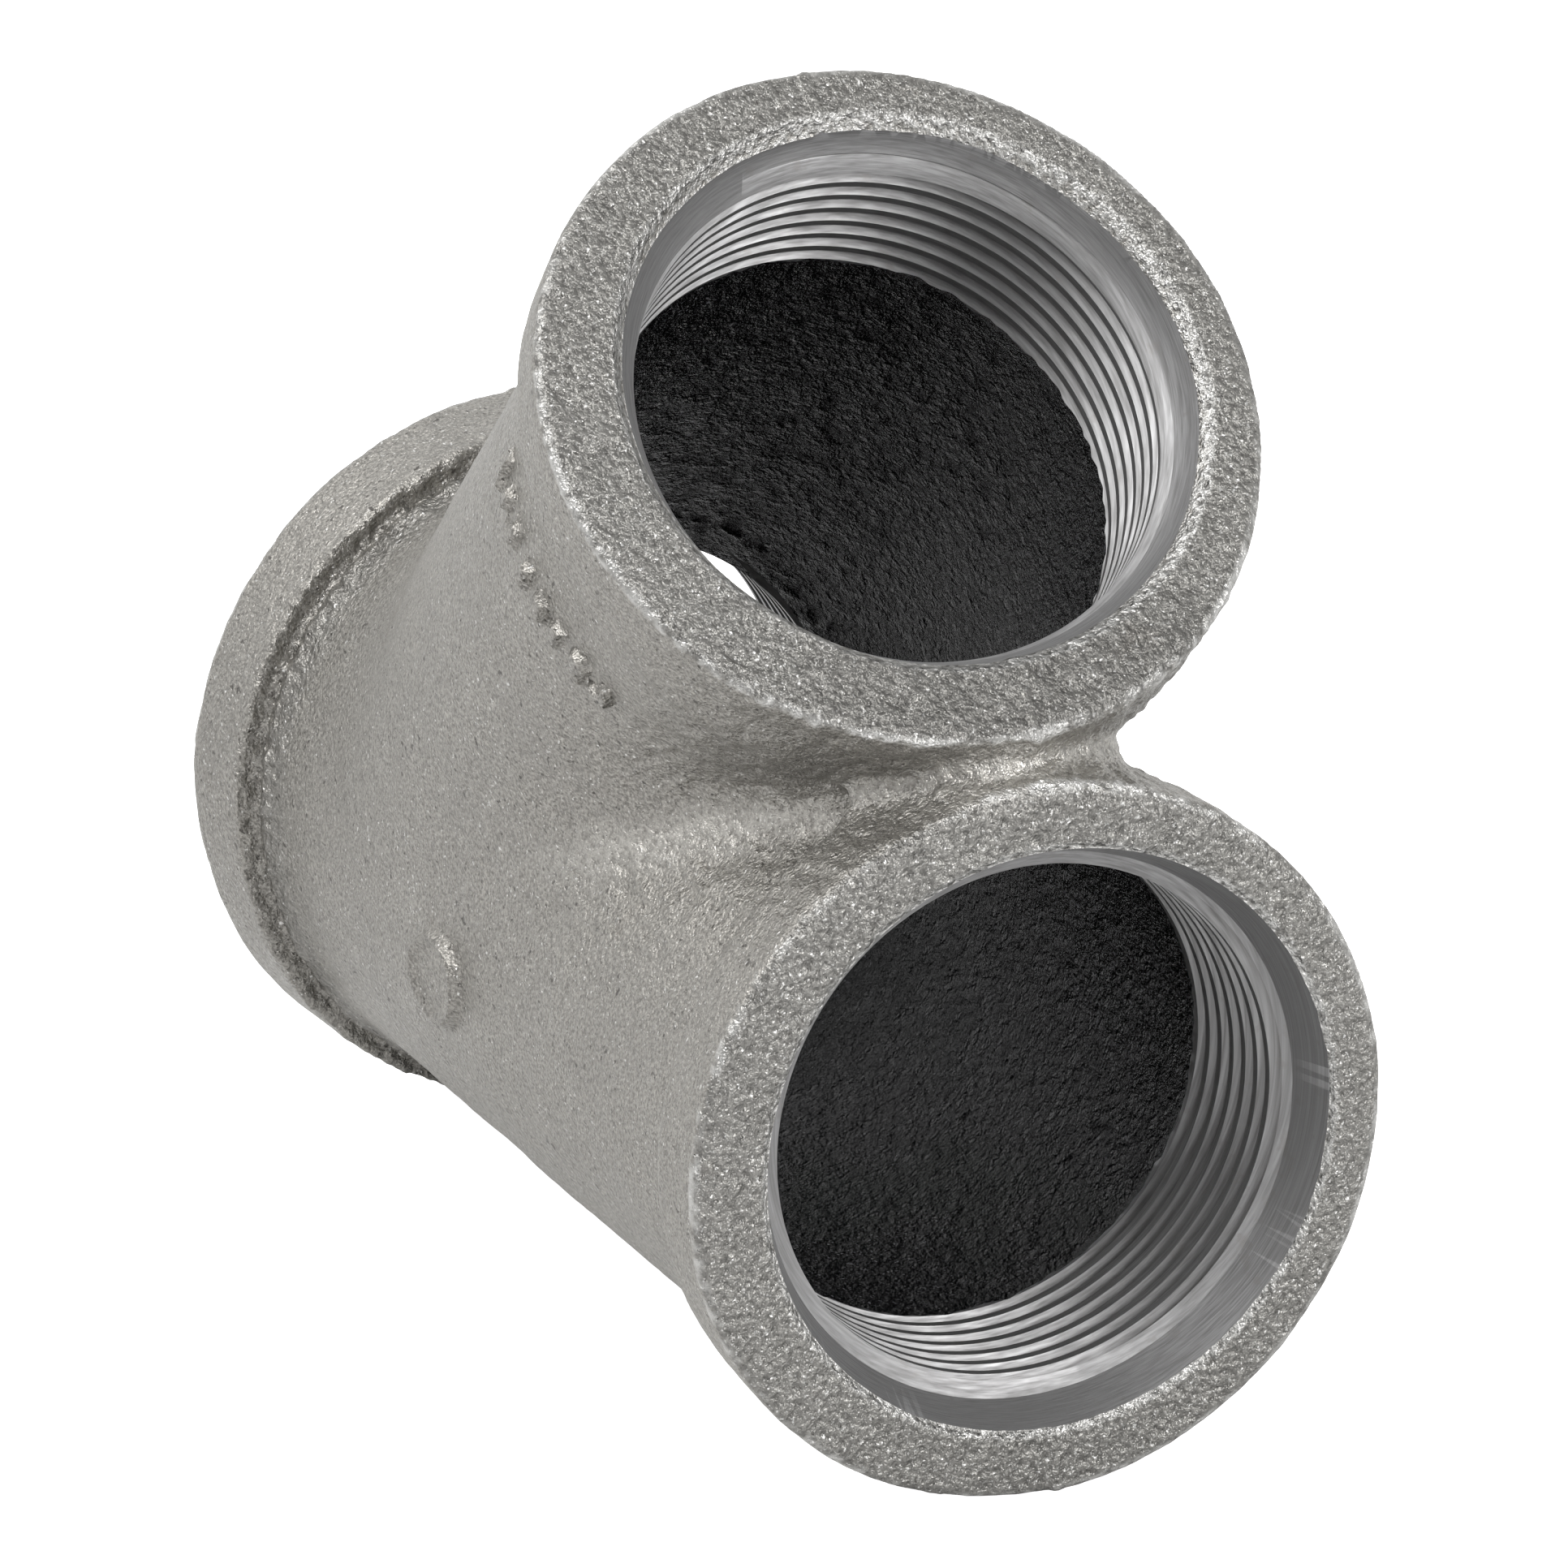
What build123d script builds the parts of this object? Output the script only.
from build123d import *

import math
import os

# A banded 45-degree lateral (Y-branch) pipe fitting for nominal 1-1/2 inch pipe, in millimetres.
# It is one hollow malleable-iron casting with three equal sockets machined into its ends.
#
# Frame: the origin is the centre of the inlet end face. +X runs down the straight run towards
# its outlet. The branch leaves the run in the XZ plane and climbs at 45 degrees. +Z is up.

INCH = 25.4

# Layout
CENTRE_TO_INLET = 1.10 * INCH
CENTRE_TO_OUTLET = 3.28 * INCH
RUN_LENGTH = CENTRE_TO_INLET + CENTRE_TO_OUTLET
BRANCH_ANGLE = 45.0

# Outside of the casting. Each band widens a little towards its face, for draft in the mould.
BARREL_RADIUS = 28.5
BAND_SHOULDER_RADIUS = 31.0
BAND_FACE_RADIUS = 31.5
BAND_LENGTH = 9.35
BAND_EDGE_ROUND = 0.8
SHOULDER_ROUND = 1.0
FOOT_FILLET = 1.4

# Slack for telling outline corners apart by their place.
NEAR = 0.01

# Web that fills the crotch between the barrels: a cone on the line halfway between their axes,
# measured from the point where the axes cross.
WEB_START = 45.0
WEB_START_RADIUS = 23.5
WEB_END = 81.0
WEB_END_RADIUS = 9.5

# Inside of the casting
WALL = 0.155 * INCH
CHAMBER_RADIUS = BARREL_RADIUS - WALL
FLARE_LENGTH = 2.5

# Sockets: a bevelled mouth, a short smooth throat, then the wall that carries the pipe thread.
# That wall is drawn plain, at the crest radius that a 1-1/2 inch tapered pipe thread of
# 11.5 per inch has at its mouth: half of the pitch diameter less half of the thread height.
THREADS_PER_INCH = 11.5
PITCH_DIAMETER = 46.287
THREAD_HEIGHT = 0.8 * INCH / THREADS_PER_INCH
THREAD_WALL_RADIUS = (PITCH_DIAMETER - THREAD_HEIGHT) / 2
MOUTH_RADIUS = 26.3
MOUTH_BEVEL = 1.6
THROAT_OUTER_RADIUS = 24.5
THROAT_INNER_RADIUS = 24.1
THROAT_END = 5.0
SOCKET_DEPTH = 20.8

# A leg is drawn with its own axis along the sketch's x and with radius along the sketch's y.
half_angle = math.radians(BRANCH_ANGLE / 2)
crossing = (CENTRE_TO_INLET, 0, 0)


def leg_plane(origin, angle):
    """A sketch plane whose x runs along a line that climbs at `angle` radians in the XZ plane."""
    return Plane(origin=origin, x_dir=(math.cos(angle), 0, math.sin(angle)), z_dir=(0, -1, 0))


run_plane = leg_plane((0, 0, 0), 0)
branch_plane = leg_plane(crossing, 2 * half_angle)
web_plane = leg_plane(crossing, half_angle)
run_axis = Axis(run_plane.origin, run_plane.x_dir)
branch_axis = Axis(branch_plane.origin, branch_plane.x_dir)
web_axis = Axis(web_plane.origin, web_plane.x_dir)


def band_outline(end):
    """The half outline of a band whose flat face stands at `end`, from its shoulder out."""
    shoulder = end - BAND_LENGTH
    return [(shoulder, BARREL_RADIUS), (shoulder, BAND_SHOULDER_RADIUS), (end, BAND_FACE_RADIUS)]


def socket_outline(end):
    """The half outline of the hollow at a mouth that stands at `end`, from the chamber out."""
    return [
        (end - SOCKET_DEPTH - FLARE_LENGTH, CHAMBER_RADIUS),
        (end - SOCKET_DEPTH, THREAD_WALL_RADIUS),
        (end - THROAT_END, THREAD_WALL_RADIUS),
        (end - THROAT_END, THROAT_INNER_RADIUS),
        (end - MOUTH_BEVEL, THROAT_OUTER_RADIUS),
        (end, MOUTH_RADIUS),
    ]


def facing_inlet(outline):
    """A run outlet's outline turned round, for the inlet end that stands at x = 0."""
    return [(RUN_LENGTH - x, radius) for x, radius in reversed(outline)]


def round_band(outline):
    """Fillet the foot of every band in a half outline, then round its shoulder and face edge."""
    for radius, size in (
        (BARREL_RADIUS, FOOT_FILLET),
        (BAND_SHOULDER_RADIUS, SHOULDER_ROUND),
        (BAND_FACE_RADIUS, BAND_EDGE_ROUND),
    ):
        corners = outline.vertices().filter_by_position(Axis.Y, radius - NEAR, radius + NEAR)
        fillet(corners.filter_by(lambda corner: corner.X > NEAR or radius > BARREL_RADIUS), size)


with BuildPart() as y_branch_casting:
    # The run: a barrel with a band round each end.
    with BuildSketch(run_plane) as run_outline:
        with BuildLine():
            outlet_band = band_outline(RUN_LENGTH)
            inlet_band = facing_inlet(outlet_band)
            Polyline((0, 0), *inlet_band, *outlet_band, (RUN_LENGTH, 0), close=True)
        make_face()
        round_band(run_outline)
    revolve(axis=run_axis)

    # The branch: the same barrel from the crossing out, with one band.
    with BuildSketch(branch_plane) as branch_outline:
        with BuildLine():
            branch_band = band_outline(CENTRE_TO_OUTLET)
            Polyline((0, 0), (0, BARREL_RADIUS), *branch_band, (CENTRE_TO_OUTLET, 0), close=True)
        make_face()
        round_band(branch_outline)
    revolve(axis=branch_axis)

    # The web in the crotch.
    with BuildSketch(web_plane):
        with BuildLine():
            web_side = [(WEB_START, WEB_START_RADIUS), (WEB_END, WEB_END_RADIUS)]
            Polyline((WEB_START, 0), *web_side, (WEB_END, 0), close=True)
        make_face()
    revolve(axis=web_axis)

    # The hollow of the run, with a socket machined into each end.
    with BuildSketch(run_plane):
        with BuildLine():
            outlet_socket = socket_outline(RUN_LENGTH)
            inlet_socket = facing_inlet(outlet_socket)
            Polyline((0, 0), *inlet_socket, *outlet_socket, (RUN_LENGTH, 0), close=True)
        make_face()
    revolve(axis=run_axis, mode=Mode.SUBTRACT)

    # The hollow of the branch, which opens into the run's, with a socket at its end.
    with BuildSketch(branch_plane):
        with BuildLine():
            branch_socket = socket_outline(CENTRE_TO_OUTLET)
            Polyline((0, 0), (0, CHAMBER_RADIUS), *branch_socket, (CENTRE_TO_OUTLET, 0), close=True)
        make_face()
    revolve(axis=branch_axis, mode=Mode.SUBTRACT)

y_branch_casting.part.label = "y_branch_casting"

os.makedirs("parts", exist_ok=True)
export_step(y_branch_casting.part, "parts/y_branch_casting.step")
